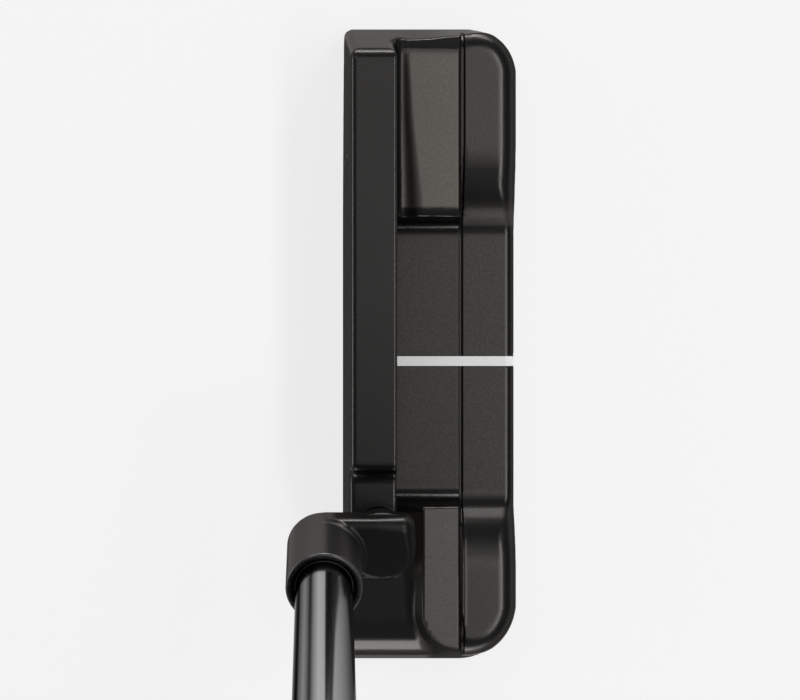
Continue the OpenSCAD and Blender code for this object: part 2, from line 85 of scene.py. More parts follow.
class Finish:
    def __init__(self, name, owner=None):
        self.data = owner or bpy.data.materials.new(name)
        self.data.use_nodes = True
        self.tree = self.data.node_tree
        self.tree.nodes.clear()

    def add(self, kind, settings=None, sockets=None, output=0):
        node = self.tree.nodes.new(kind)
        for key, value in (settings or {}).items():
            if key == "stops":  # a ramp's stops as (place, grey or colour)
                ramp = node.color_ramp
                while len(ramp.elements) < len(value):
                    ramp.elements.new(0.5)
                for element, (place, tone) in zip(ramp.elements, value):
                    element.position = place
                    element.color = (tone, tone, tone, 1) if isinstance(tone, (int, float)) else (*tone, 1)
            else:
                setattr(node, key, value)
        for key, value in (sockets or {}).items():
            if isinstance(value, Wire):
                self.tree.links.new(value.socket, node.inputs[key])
            else:
                node.inputs[key].default_value = value
        return Wire(self, node.outputs[output]) if node.outputs else node

    def place(self):
        return self.add("ShaderNodeTexCoord", output="Object")

    def noise(self, scale, detail=3, rough=0.55, vector=None):
        sockets = {"Scale": scale, "Detail": detail, "Roughness": rough}
        sockets["Vector"] = vector or self.place()
        return self.add("ShaderNodeTexNoise", {}, sockets)

    def between(self, factor, low, high):
        return self.add("ShaderNodeMapRange", {"clamp": True}, {0: factor, 1: low, 2: high})

    def blend(self, factor, first, second):
        return self.add("ShaderNodeMix", {"data_type": "RGBA"}, {0: factor, 6: first, 7: second}, output=2)

    def bump(self, height, strength, distance):
        return self.add("ShaderNodeBump", {}, {"Height": height, "Strength": strength, "Distance": distance})

    def surface(self, sockets):
        shader = self.add("ShaderNodeBsdfPrincipled", {}, sockets)
        self.add("ShaderNodeOutputMaterial", {}, {"Surface": shader})
        return self.data


def rgb(red, green, blue):
    return (red, green, blue, 1)


# signed distance forms: below zero is inside, all in millimetres
def roundAnd(a, b, r):  # keeps what is in both, with the edge rounded
    return np.minimum(-r, np.maximum(a, b)) + np.hypot(np.maximum(a + r, 0), np.maximum(b + r, 0))


def roundOr(a, b, r):  # joins both, with the corner filleted
    return np.maximum(r, np.minimum(a, b)) - np.hypot(np.maximum(r - a, 0), np.maximum(r - b, 0))


def fade(value, start, width):  # from 0 at the start to 1 past the width, which is negative to run the other way
    return np.clip((value - start) / width, 0, 1)


def graded(low, high, coarse, fine, places):  # grid lines that close up near some places
    at = np.linspace(low, high, 6000)
    spacing = np.full_like(at, coarse)
    for place, width, *own in places:
        aim = own[0] if own else fine
        spacing = np.minimum(spacing, coarse + (aim - coarse) * np.exp(-((at - place) / width) ** 4))
    count = np.cumsum(1 / spacing) * (at[1] - at[0])
    return np.interp(np.arange(0, count[-1]), count, at)


def slope(form, p, reach=0.015):  # unit normals of a form at points
    sides = []
    for axis in range(3):
        step = np.zeros(3)
        step[axis] = reach
        sides.append(form(*(p + step).T) - form(*(p - step).T))
    n = np.stack(sides, axis=1)
    return n / np.maximum(np.linalg.norm(n, axis=1, keepdims=True), 1e-9)


def contour(form, lines):  # dual contouring, which keeps crisp edges crisp
    xs, ys, zs = lines
    slab, hold = 24, 0.08  # grid planes worked out at a time, and how firmly a point keeps to its middle
    slabs = [form(xs[i:i + slab, None, None], ys[None, :, None], zs[None, None, :]) for i in range(0, len(xs), slab)]
    f = np.concatenate(slabs)
    inside = f < 0
    points, cells, quads = [], [], []
    for a in range(3):
        b, c = (a + 1) % 3, (a + 2) % 3
        near = [slice(1, -1)] * 3
        near[a] = slice(0, -1)
        ahead = [slice(1, -1)] * 3
        ahead[a] = slice(1, None)
        at = np.argwhere(inside[tuple(near)] != inside[tuple(ahead)]) + [int(i != a) for i in range(3)]
        unit = np.eye(3, dtype=int)
        f0 = f[tuple(at.T)]
        f1 = f[tuple((at + unit[a]).T)]
        p = np.stack([line[i] for line, i in zip(lines, at.T)], axis=1)
        p[:, a] += (lines[a][at[:, a] + 1] - p[:, a]) * f0 / (f0 - f1)
        ring = [at - unit[b] - unit[c], at - unit[c], at, at - unit[b]]
        ids = np.stack([np.ravel_multi_index(cell.T, f.shape) for cell in ring], axis=1)
        quads.append(np.where((f0 < 0)[:, None], ids, ids[:, ::-1]))
        points.append(np.repeat(p, 4, axis=0))
        cells.append(ids.ravel())
    points, cells, quads = np.concatenate(points), np.concatenate(cells), np.concatenate(quads)
    used, where = np.unique(cells, return_inverse=True)
    n = slope(form, points[::4]).repeat(4, axis=0)
    total = np.bincount(where)
    middle = np.stack([np.bincount(where, points[:, i]) / total for i in range(3)], axis=1)
    pull = ((points - middle[where]) * n).sum(1)
    a = np.zeros((len(used), 3, 3))
    b = np.zeros((len(used), 3))
    for i in range(3):
        b[:, i] = np.bincount(where, n[:, i] * pull)
        for j in range(3):
            a[:, i, j] = np.bincount(where, n[:, i] * n[:, j]) + (hold if i == j else 0)
    move = np.linalg.solve(a, b[:, :, None])[:, :, 0]
    corner = np.stack(np.unravel_index(used, f.shape), axis=1)
    low = np.stack([line[i] for line, i in zip(lines, corner.T)], axis=1)
    high = np.stack([line[i + 1] for line, i in zip(lines, corner.T)], axis=1)
    verts = np.clip(middle + move, low, high)
    return verts, np.searchsorted(used, quads)


def meshOf(name, verts, quads, normals=None):
    mesh = bpy.data.meshes.new(name)
    mesh.vertices.add(len(verts))
    mesh.vertices.foreach_set("co", (np.asarray(verts) * mm).ravel().astype(np.float32))
    mesh.loops.add(quads.size)
    mesh.loops.foreach_set("vertex_index", quads.ravel().astype(np.int32))
    mesh.polygons.add(len(quads))
    mesh.polygons.foreach_set("loop_start", np.arange(0, quads.size, quads.shape[1], dtype=np.int32))
    mesh.update(calc_edges=True)
    mesh.polygons.foreach_set("use_smooth", np.ones(len(quads), bool))
    if normals is not None:
        mesh.normals_split_custom_set(normals.tolist())
    piece = bpy.data.objects.new(name, mesh)
    bpy.context.scene.collection.objects.link(piece)
    return piece


def formPiece(name, form, lines):
    verts, quads = contour(form, lines)
    corners = verts[quads]
    inset = 0.3  # normals are taken a little inside each face, so that edges stay crisp
    inward = corners + inset * (corners.mean(1, keepdims=True) - corners)
    normals = slope(form, inward.reshape(-1, 3))
    print(f"{name}: {len(verts)} points, {len(quads)} faces")
    return meshOf(name, verts, quads, normals)


def dress(piece, body, slot, material, *nodes):
    piece.data.materials.clear()
    piece.data.materials.append(material)
    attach(piece, body)
    if nodes:
        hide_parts(*nodes)


# head
headLow, headHigh = boxOf("head_body")
lineLow, lineHigh = boxOf("sight_line")
plateLow, plateHigh = boxOf("face_insert")

head = {
    "toeReach": 0.25 - headLow[0], "heelReach": headHigh[0], "rear": headHigh[1] + 0.08, "lead": -headHigh[1],
    "toeCorner": 9.0, "heelCorner": 10.5, "wideZ": 4.0, "wallEdge": (0.02, 0.25),
    "draft": 18.7, "draftAt": [-6, -3.8, 0.1, 2.8, 5, 9, 12], "draftShare": [1.03, 1.05, 1.02, 0.94, 0.9, 0.9, 0.6],
    "soleFlat": 19.0, "soleRound": 245.0, "loft": math.radians(3), "leadRound": 1.6,
    "topZ": 25.0, "topEdge": 0.6, "topFrontEdge": 1.1, "topToeEdge": 1.6, "topWall": lineLow[1], "topFoot": 0.4,
    "stepX": 19.9, "shelfZ": 21.0, "stepRound": 1.6, "stepFillet": 2.4, "dropFrom": 36.0, "dropRound": 1.0,
    "heelShelfFrom": 31.0, "heelShelfX": 40.2, "heelShelfZ": 13.3, "heelRound": 0.35, "heelShelfFillet": 0.9,
    "floorZ": lineHigh[2], "frontPadZ": 15.0, "frontTilt": 0.07, "tiltFrom": 1.0, "rearPadZ": 12.5,
    "padFoot": 25.9, "padRun": 1.1, "padFillet": 2.3, "padSideEdge": 0.2,
    "padLean": 0.24, "leanDrop": 0.4, "leanShare": 0.94,
    "crownX": -40.0, "toePadEdge": 0.12, "troughX": [-45, -30], "troughY": [1.4, 1.6], "troughRound": 1.4,
    "sideX": [-57, -45, -30], "sideReach": [1.3, 2.1, 3.6],
    "heelRamp": (24.3, 5.6, math.radians(40), 1.2),  # foot, round, angle, straight
    "heelPadY": -1.4, "heelPadEnd": 53.3, "heelPadCorner": 6.5, "heelPadEdge": 0.5, "bevelRound": 0.25,
    "bevelX": [28, 40, 46, 52], "bevelSteep": [0.7, 0.85, 1.35, 2.2], "heelBase": 6.6, "heelBaseFillet": 0.6,
    "grooveY": 6.15, "grooveWidth": 0.44, "grooveDepth": 0.6, "grooveEdge": 0.28, "toeBed": 2.5, "heelBed": 1.0,
    "floorRim": 1.9, "padRim": 3.75, "endRim": 5.1, "rimRun": 7.0, "toeInset": 0.5, "heelInset": 1.0,
    "endUnder": 0.3, "letGo": (1.5, 0.04),
    "lineDepth": 0.4, "lineLow": lineLow[2], "lineHalf": (lineHigh[0] - lineLow[0]) / 2,
}

neck = {
    "hosel": 6.3, "hoselTop": 59.6, "hoselLow": 43.3, "hoselEdge": 0.5,
    "bore": 4.8, "boreFloor": 44.8, "sinkDepth": 0.9, "sinkRun": 0.7,
    "armThick": 4.2, "armHalf": 5.35, "armMid": -0.97, "armReach": 9.9, "armEnd": 15.4, "armToeCorner": 2.2,
    "armToeEdge": 1.65, "armHeelEdge": 0.4, "edgeAcross": [-4, 3.5], "armUnderEdge": 0.4,
    "edgeBack": [9, 14], "edgeGrow": [1, 1.5], "armFillet": 1.1, "creaseRun": 1.5, "creaseLeast": 0.05,
    "post": 4.7, "postFillet": 0.15, "postLead": 3.0, "postFree": (23.0, 4.0), "armRoot": 1.6,
}
armMidZ = neck["hoselLow"] + neck["armThick"] / 2  # along the shaft line
postPlace = (shaftFoot[0] + armMidZ * shaftAxis[0] + neck["armMid"] * shaftAxis[2], shaftFoot[1] + neck["armReach"])


def fallOf(places, tilts):  # a profile from its tilt in degrees at each place: drop and tilt there
    steps = np.linspace(places[0], places[-1], 400)
    lean = np.tan(np.radians(np.interp(steps, places, tilts)))
    drops = np.concatenate([[0], np.cumsum((lean[1:] + lean[:-1]) / 2) * (steps[1] - steps[0])])
    return lambda s: (np.interp(s, steps, drops), np.radians(np.interp(s, places, tilts)))


heelFall = fallOf([40.2, 40.3, 47.2, 49, 51.6, 52.6, 54.1, 55.2, 57], [0, 8.5, 8.5, 14, 22, 36, 38.5, 60, 71])
crownFall = fallOf([-6.9, -5.2, 0], [0, 23, 24])  # the toe pad falls away towards the toe
endFall = fallOf([-29, -28.5, -27, -25], [0, 18, 29, 30])  # and towards the middle
sideFall = fallOf([0, 0.12, 0.28, 0.42, 0.56, 0.68, 0.8, 0.9, 1],  # and into the trough, as a share of its reach
                  [0, 7, 15, 23, 29, 29, 20, 9, 0])
toeRise = fallOf([23, 23.6, 24.2, 24.7, 25.2, 25.8, 26.4, 27.5, 28.6, 29.7,  # the toe ramp, from its foot
                  30.8, 31.9, 33, 34, 35.2, 36.3, 38.5, 39.4, 41.5],
                 [0, 4, 11, 18, 23, 29, 35, 39, 38, 33, 27, 24, 21.5, 19, 16, 12.7, 9.4, 6.7, 0])


def soleAt(x):
    beyond = np.maximum(np.abs(x) - head["soleFlat"], 0)
    return head["soleRound"] - np.sqrt(head["soleRound"] ** 2 - beyond ** 2)


def shaftFrame(x, y, z):  # across to the heel, to the rear, and up the shaft line
    dx, dy = x - shaftFoot[0], y - shaftFoot[1]
    return dx * shaftAxis[2] - z * shaftAxis[0], dy, dx * shaftAxis[0] + z * shaftAxis[2]


def faceSide(x, y, z):  # above zero in front of the face
    return (head["lead"] + z * math.tan(head["loft"]) - y) * math.cos(head["loft"]) + 0 * x


def outerShell(x, y, z):  # leaning walls that roll into the sole
    toeSide = x < 0
    corner = np.where(toeSide, head["toeCorner"], head["heelCorner"])
    endSide = np.abs(x) - np.where(toeSide, head["toeReach"], head["heelReach"])
    rearSide = y - head["rear"]
    plan = roundAnd(endSide, rearSide, corner)
    ax, ay = np.maximum(endSide + corner, 0), np.maximum(rearSide + corner, 0)
    endness = ax / (ax + ay + 1e-6)  # 1 at the toe and heel, 0 along the rear
    share = np.interp(y, head["draftAt"], head["draftShare"])
    lean = np.radians(endness * share * head["draft"])
    r = head["wideZ"] - soleAt(x)
    out = plan + r
    up = z - head["wideZ"]
    low = np.hypot(np.maximum(out, 0), up) - r
    leaning = out * np.cos(lean) + up * np.sin(lean) - r
    wall = np.where((out > 0) & (up < out * np.tan(lean)), low, np.maximum(leaning, -up - r))
    return wall, endness, plan


def rampTop(x, z):  # rear half: the toe ramp by its profile, the heel ramp by two arcs with a straight between
    rise = head["rearPadZ"] - head["floorZ"]
    start, footR, angle, run = head["heelRamp"]
    tilt, bend = math.tan(angle), 1 - math.cos(angle)
    crownR = (rise - footR * bend - run * tilt) / bend
    join, crownRun = footR * math.sin(angle), crownR * math.sin(angle)
    s = x - start
    up = np.clip(s, 0, join)
    straight = np.clip(s - join, 0, run)
    fromTop = np.clip(join + run + crownRun - s, 0, crownRun)
    foot = footR - np.sqrt(footR ** 2 - up ** 2) + straight * tilt
    crown = rise - crownR + np.sqrt(crownR ** 2 - fromTop ** 2)
    lower = s < join + run
    steep = np.where(lower, up / footR, fromTop / crownR)
    toeTop, toeTilt = toeRise(-x)
    wholeRise = toeRise(head["toeReach"])[0]
    height = np.where(x < 0, toeTop * rise / wholeRise, np.where(lower, foot, crown))
    return (z - head["floorZ"] - height) * np.where(x < 0, np.cos(toeTilt), np.sqrt(1 - steep ** 2))


def frontTop(x, y, z, plan):  # front half: tall pads with upright ends
    floorZ, padZ, foot, run = head["floorZ"], head["frontPadZ"], head["padFoot"], head["padRun"]
    rise = padZ - floorZ
    length = math.hypot(rise, run)
    toeEnd = ((x + foot) * rise + (z - floorZ) * run) / length
    heelEnd = ((foot - x) * rise + (z - floorZ) * run) / length
    top = z - padZ + head["frontTilt"] * (y - head["tiltFrom"])
    side = y - head["grooveY"] + head["grooveWidth"] / 2
    leaning = side + head["padLean"] * (z - head["rearPadZ"] + head["leanDrop"])
    side = np.maximum(side, leaning * head["leanShare"])
    # toe pad, with a shallow trough between it and the top line
    drop, tilt = crownFall(np.where(x < head["crownX"], plan, -9))  # -9 is short of its fall
    endDrop, endTilt = endFall(x)
    fromWall = y - head["topWall"]
    reach = np.interp(x, head["sideX"], head["sideReach"])
    trough = np.interp(x, head["troughX"], head["troughY"])
    sideDrop, sideTilt = sideFall(1 - (fromWall - trough) / reach)
    bank = np.clip((trough - fromWall) / head["troughRound"], 0, 0.98)  # short of upright
    flatness = np.sqrt(1 - bank ** 2)
    bankRise = head["troughRound"] * (1 - flatness)
    toePad = top + drop + endDrop + reach * sideDrop - bankRise
    toePad = toePad * np.cos(tilt) * np.cos(endTilt) * np.cos(sideTilt) * flatness
    toePad = roundAnd(toePad, toeEnd, head["toePadEdge"])
    # heel pad, with a bevel all round its flat
    steep = np.interp(x, head["bevelX"], head["bevelSteep"])
    bevel = (top + steep * heelOutline(x, y)) / np.sqrt(1 + steep ** 2)
    heelPad = roundAnd(roundAnd(top, bevel, head["bevelRound"]), heelEnd, head["heelPadEdge"])
    heelPad = roundOr(heelPad, np.maximum(z - head["heelBase"], heelEnd), head["heelBaseFillet"])
    pads = roundAnd(np.minimum(toePad, heelPad), side, head["padSideEdge"])
    return roundAnd(roundOr(z - floorZ, pads, head["padFillet"]), side, head["grooveEdge"])


def heelOutline(x, y):  # edge of the heel pad's flat, seen from above
    corner = head["heelPadCorner"]
    ox = np.maximum(x - head["heelPadEnd"] + corner, 0)
    oy = np.maximum(head["heelPadY"] + corner - y, 0)
    return np.hypot(ox, oy) - corner


def flangeForm(x, y, z, shell, endness, plan, grooved=True):
    half = head["grooveWidth"] / 2
    ramp = rampTop(x, z)
    raised = fade(np.abs(x), head["padFoot"], head["rimRun"])
    rim = head["floorRim"] + raised * (head["padRim"] - head["floorRim"])
    rim = rim + endness * (head["endRim"] - rim)
    inset = np.where(x < 0, head["toeInset"], head["heelInset"])
    under = ramp + rim * (1 - head["endUnder"] * endness)
    away, soft = head["letGo"]
    wall = plan + endness * inset + away * (under - np.sqrt(under ** 2 + soft))  # moves out below the rim
    form = roundAnd(ramp, wall, rim)
    if grooved:
        rear = roundAnd(form, head["grooveY"] + half - y, head["grooveEdge"])
        bedFrom = head["grooveY"] - np.where(x < 0, head["toeBed"], head["heelBed"])
        bed = np.maximum(form + head["grooveDepth"], bedFrom - y)
        form = np.minimum(np.minimum(frontTop(x, y, z, plan), rear), bed)
    least, more = head["wallEdge"]
    return roundAnd(form, shell, least + more * endness)


def headForm(x, y, z):
    shell, endness, plan = outerShell(x, y, z)
    face = faceSide(x, y, z)
    # top line, its step and the shelf under the neck
    fall = np.array([head["shelfZ"] - head["heelShelfZ"], head["heelShelfX"] - head["dropFrom"]])
    fall /= np.hypot(*fall)
    drop = (x - head["dropFrom"]) * fall[0] + (z - head["shelfZ"]) * fall[1]
    step = roundAnd(z - head["topZ"], x - head["stepX"], head["stepRound"])
    ledge = roundAnd(z - head["shelfZ"], drop, head["dropRound"])
    topLine = roundAnd(roundOr(step, ledge, head["stepFillet"]), y - head["topWall"], head["topEdge"])
    topLine = roundAnd(roundAnd(topLine, face, head["topFrontEdge"]), shell, head["topToeEdge"])
    # heel shelf, kept under the heel pad's bevel
    down, tilt = heelFall(x)
    heelTop = (z - head["heelShelfZ"] + down) * np.cos(tilt)
    heelShelf = np.maximum(roundAnd(heelTop, shell, head["heelRound"]), y - head["grooveY"] + head["grooveWidth"] / 2)
    heelShelf = np.maximum(heelShelf, head["heelShelfFrom"] - x)
    flange = roundOr(flangeForm(x, y, z, shell, endness, plan), heelShelf, head["heelShelfFillet"])
    body = roundOr(topLine, flange, head["topFoot"])
    body = np.maximum(body, roundAnd(shell, face, head["leadRound"]))
    # post, arm and hosel
    across, back, along = shaftFrame(x, y, z)
    postTop = armMidZ * shaftAxis[2] - neck["armMid"] * shaftAxis[0]
    column = np.hypot(x - postPlace[0], y - postPlace[1]) - neck["post"]
    post = np.maximum(np.maximum(column, z - postTop), head["floorZ"] - z)
    body = roundOr(body, post, neck["postFillet"])
    body = np.maximum(body, face - neck["postLead"] * fade(z, *neck["postFree"]))
    toward = across - neck["armMid"]
    corner = np.where(toward < 0, neck["armToeCorner"], neck["armHalf"])
    bar = np.maximum(roundAnd(np.abs(toward) - neck["armHalf"], back - neck["armEnd"], corner), -back)
    armEdge = np.interp(toward, neck["edgeAcross"], [neck["armToeEdge"], neck["armHeelEdge"]])
    armEdge = armEdge * np.interp(back, neck["edgeBack"], neck["edgeGrow"])
    armTop = neck["hoselLow"] + neck["armThick"]
    arm = roundAnd(roundAnd(bar, along - armTop, armEdge), neck["hoselLow"] - along, neck["armUnderEdge"])
    tube = np.hypot(across, back)
    hoselMid = (neck["hoselTop"] + neck["hoselLow"]) / 2
    hosel = roundAnd(tube - neck["hosel"], np.abs(along - hoselMid) - neck["hoselTop"] + hoselMid, neck["hoselEdge"])
    crease = np.maximum(fade(along, armTop - neck["creaseRun"], neck["creaseRun"]), neck["creaseLeast"])
    body = roundOr(body, roundOr(arm, hosel, neck["armFillet"] * crease), neck["armRoot"])
    # bore, face pocket, sight line slot and weight ports
    sink = np.clip(along - neck["hoselTop"] + neck["sinkDepth"], 0, None) * neck["sinkRun"] / neck["sinkDepth"]
    cut = np.maximum(tube - neck["bore"] - sink, neck["boreFloor"] - along)
    cut = np.minimum(cut, facePocket(x, y, z, face))
    cut = np.minimum(cut, np.minimum(weightPort(x, y, z, "toe_weight"), weightPort(x, y, z, "heel_weight")))
    cut = np.minimum(cut, lineSlot(x, y, z, flange))
    return np.maximum(body, -cut)


pocket = {"corner": 6.0, "gap": 0.08, "depth": 3.2}  # for the face plate and its bond


def facePocket(x, y, z, face):
    low, high = plateLow[2], plateHigh[2]
    ends = np.abs(x) - plateHigh[0] - pocket["gap"]
    sides = np.abs(z - (low + high) / 2) / math.cos(head["loft"]) - (high - low) / 2 - pocket["gap"]
    return np.maximum(roundAnd(ends, sides, pocket["corner"]), -pocket["depth"] - face)


def portFrame(node):  # axis into the head and centre on the sole
    joint = next(j for j in frame["joints"] if j["child"] == node)
    return -np.array(joint["axis"]), np.array(joint["pos_m"]) / mm


ports = {node: portFrame(node) for node in ("toe_weight", "heel_weight")}
port = {"flange": 7.3, "flangeDeep": 2.4, "shank": 5.31, "shankDeep": 7.7}  # radius and depth of each bore


def weightPort(x, y, z, node):
    axis, centre = ports[node]
    dx, dy, dz = x - centre[0], y - centre[1], z - centre[2]
    deep = dx * axis[0] + dy * axis[1] + dz * axis[2]
    off = np.sqrt(np.maximum(dx ** 2 + dy ** 2 + dz ** 2 - deep ** 2, 0))
    wide = np.maximum(off - port["flange"], deep - port["flangeDeep"])
    return np.minimum(wide, np.maximum(off - port["shank"], deep - port["shankDeep"]))


def lineSlot(x, y, z, flange, gap=0.0):
    slot = np.maximum(np.abs(x) - head["lineHalf"] + gap, -flange - head["lineDepth"] + gap)
    return np.maximum(slot, np.maximum(head["lineLow"] - z, head["topWall"] - y))


headLines = (  # finer near edges, given by place, width and sometimes a spacing of their own
    graded(headLow[0] - 1.5, headHigh[0] + 1.5, 0.95, 0.3, [
        (-60, 4.5), (-39, 2), (-26.5, 3), (0, 1.6), (20, 2), (26.5, 3), (35, 10), (52, 5)]),
    graded(headLow[1] - 1.5, headHigh[1] + 1.5, 0.75, 0.28, [
        (-20, 7), (-14.8, 1), (-6.2, 1.5), (-2.5, 1.5), (5.2, 0.9, 0.2), (6.1, 0.6, 0.09), (14, 2.5)]),
    graded(headLow[2] - 1, headHigh[2] + 1, 0.75, 0.32, [
        (1.5, 2), (6.5, 1), (12.5, 1.2), (14.2, 1), (21, 1), (24.7, 0.8), (46, 13), (56, 5)]),
)


def headFinish():
    f = Finish("head satin black")
    zone = {name: f.add("ShaderNodeAttribute", {"attribute_name": name}, output="Fac")
            for name in ("blasted", "raised", "milled", "neck", "hosel")}
    cloud = f.noise(60, 2)
    grain = f.noise(4200, 2, 0.6)
    speck = f.between(f.noise(3600, 1, 0.5), 0.35, 0.7)
    tone = f.blend(cloud, rgb(0.034, 0.033, 0.032), rgb(0.041, 0.0395, 0.0385))
    # the fine blast's lighter colour is painted light: it makes the raised pads lighter, standing in for the light
    # that falls on them
    coarse = f.blend(speck, rgb(0.046, 0.0435, 0.0402), rgb(0.0615, 0.058, 0.054))
    fine = f.blend(speck, rgb(0.069, 0.0645, 0.0587), rgb(0.089, 0.083, 0.0755))
    blastAndPaintedLight = f.blend(zone["raised"], coarse, fine)
    # painted shade: the neck, the foot of its post and the toe pad's trough are darker
    tone = f.blend(zone["neck"], tone, rgb(0.018, 0.0175, 0.017))
    # painted sheen: the hosel's skin is lighter
    tone = f.blend(zone["hosel"], tone, rgb(0.09, 0.086, 0.085))
    # the dark milled colour is the milled face's own finish, and painted shade on the heel's end and the side of its
    # pad
    colour = f.blend(zone["milled"], f.blend(zone["blasted"], tone, blastAndPaintedLight), rgb(0.012, 0.012, 0.011))
    rough = 0.27 + 0.15 * zone["blasted"] + 0.04 * (cloud - 0.5) + 0.3 * zone["milled"] + 0.12 * zone["neck"]
    bump = f.bump(grain, 0.12, 0.00004)
    normal = f.add("ShaderNodeMix", {"data_type": "VECTOR"}, {
        0: zone["blasted"], 4: f.add("ShaderNodeNewGeometry", output="Normal"), 5: bump}, output=1)
    return f.surface({"Base Color": colour, "Metallic": 0.9, "Roughness": rough,
                      "Specular Tint": rgb(0.37, 0.36, 0.35), "Normal": normal})


headPiece = formPiece("head", headForm, headLines)


marks = {  # where the finish, its painted light and its painted shade change: places, or the start and width of a fade
    "behind": (head["topWall"] + 0.2, 0.6), "trough": (head["topWall"] + 1.7, -0.5), "troughX": -25.0,
    "toePadX": (5.5 - head["toeReach"], -28.6), "toePadZ": head["rearPadZ"] - 0.4,
    "heelPadX": 40.0, "heelPadZ": head["rearPadZ"] + 1.5, "padY": head["grooveY"] - 0.6,
    "soft": (0.2, 0.5), "flat": (0.978, 0.016),  # by the upward part of the normal
    "lowZ": (head["floorZ"] - 1, head["frontPadZ"] + 1.2),
    "heelFront": (28.0, head["grooveY"] - 0.3), "padEdge": (0.35, -0.5), "shelfFrom": 0.2,
    "flankX": (41.0, -3.0), "flankTo": 2.6, "flankZ": head["rearPadZ"] + 0.5, "flankUp": 0.5, "flankShare": 0.85,
    "endX": (50.0, 2.0), "endY": (-0.6, 1.6), "endOut": (1 / 3, 1 / 3), "endZ": 8.0,
    "sideX": (37.0, 3.0), "sideOut": (1.65, -0.3), "sideZ": head["floorZ"] + 1, "heelShadeShare": 0.85,
    "shadeAway": (1.6, -1.0), "shadeZ": head["frontPadZ"] + 1,
    "neckZ": (head["topZ"] + 1, 4.0), "neckToe": (-0.15, -0.5), "neckLit": 0.8,
    "faceOut": (0.9, 0.1), "faceY": head["lead"] + 2,
    "frontZ": (head["rearPadZ"] + 1, 0.5), "frontHeelLight": 0.6, "rearZ": (head["floorZ"] + 1, 4.0), "rearLightShare": 0.3,
    "footHighlightX": ([25.3, 25.9, 28, 30.5], [0, 1, 1, 0]), "footHighlightY": head["grooveY"] + 0.4, "hoselPaintedSheen": (0.375, -0.25),
}


def markZones(piece):  # bead-blasted floors and pads, painted light on the raised pads and in a few more places, and painted shade in the darker places
    m = marks
    p = np.zeros(len(piece.data.vertices) * 3, np.float32)
    piece.data.vertices.foreach_get("co", p)
    x, y, z = p.reshape(-1, 3).T.astype(float) / mm
    nx, ny, nz = slope(headForm, np.stack([x, y, z], axis=1)).T
    outline = heelOutline(x, y)
    low = (z > m["lowZ"][0]) & (z < m["lowZ"][1])
    trough = fade(y, *m["trough"]) * (x < m["troughX"]) * (y > head["topWall"]) * (z > head["rearPadZ"])
    behind = fade(y, *m["behind"]) * (1 - trough)
    # blasted where the surface lies flat, and over the rolled edges of the pads
    toePad = (x > m["toePadX"][0]) & (x < m["toePadX"][1]) & (z > m["toePadZ"])
    heelPad = (x > m["heelPadX"]) & (z > m["heelPadZ"])
    rolled = (toePad | heelPad) & (y < m["padY"])
    upward = np.where(rolled, fade(nz, *m["soft"]), fade(nz, *m["flat"]))
    padEnd = (x > m["toePadX"][1]) & (x < 0) & (z > head["rearPadZ"])
    heelFront = (x > m["heelFront"][0]) & (y < m["heelFront"][1])
    blasted = np.where(padEnd, 0, behind * upward * low) * np.where(heelFront, fade(outline, *m["padEdge"]), 1)
    shelf = heelFront & (outline > m["shelfFrom"])
    # painted light: lightens the heel pad's flank under the arm, where shade falls
    flankPaintedLight = fade(x, *m["flankX"]) * shelf * (outline < m["flankTo"]) * (z > m["flankZ"]) * (nz > m["flankUp"])
    # painted highlight: a lighter band at the foot of the toe ramp
    foot = np.interp(-x, *m["footHighlightX"]) * (y > m["footHighlightY"])
    # painted light: the front pads lighter than the rear ones, the toe pad lighter than the heel pad
    front = fade(z, *m["frontZ"]) * np.where(x < 0, 1, m["frontHeelLight"])
    rear = fade(z, *m["rearZ"]) * (y > head["grooveY"]) * m["rearLightShare"]
    # the milled face, and painted shade on the heel's end and the side of its pad
    milled = fade(-ny, *m["faceOut"]) * (y < m["faceY"])
    # painted shade on the heel's end below the pad
    heelEnd = fade(y, *m["endY"]) * fade(x, *m["endX"]) * fade(nx, *m["endOut"])
    heelEnd = heelEnd * ((y < head["grooveY"]) | (z < m["endZ"]))
    heelSideShade = fade(x, *m["sideX"]) * fade(outline, *m["sideOut"]) * shelf * (z > m["sideZ"])
    # painted shade on the neck, lighter on its toe side, and round the foot of its post; a painted sheen on the hosel
    postAway = np.hypot(x - postPlace[0], y - postPlace[1]) - neck["post"]
    shaded = fade(postAway, *m["shadeAway"]) * (z < head["topZ"]) * (z > m["shadeZ"])
    dark = fade(z, *m["neckZ"]) * (1 - m["neckLit"] * fade(nx, *m["neckToe"]))
    across, back, along = shaftFrame(x, y, z)
    around = np.abs(np.hypot(across, back) - neck["hosel"])
    # blasted also carries painted light on the flank and at the ramp's foot; raised is painted light; milled carries
    # painted shade at the heel; neck is painted shade, also in the toe pad's trough; hosel is a painted sheen
    zones = {"blasted": np.maximum(blasted, np.maximum(foot * behind, m["flankShare"] * flankPaintedLight)),
             "raised": np.maximum(np.maximum(front, rear) * low, foot),
             "milled": np.maximum(milled, m["heelShadeShare"] * np.maximum(heelEnd, heelSideShade)),
             "neck": np.maximum(np.maximum(dark, shaded), trough * (z < m["shadeZ"])),
             "hosel": fade(around, *m["hoselPaintedSheen"]) * (along > neck["hoselLow"] - 1)}
    for name, value in zones.items():
        piece.data.attributes.new(name, "FLOAT", "POINT").data.foreach_set("value", value.astype(np.float32))


markZones(headPiece)
dress(headPiece, "club", "head_finish", headFinish(), "head_body")


# sight line
paint = {"gap": 0.02, "x": (-1.2, 1.21, 0.1), "y": (-7.2, 17, 0.16), "z": (3.9, 7.2, 0.08)}  # start, end, spacing


def lineForm(x, y, z):
    flange = flangeForm(x, y, z, *outerShell(x, y, z), grooved=False)
    return np.maximum(flange + paint["gap"], lineSlot(x, y, z, flange, paint["gap"]))


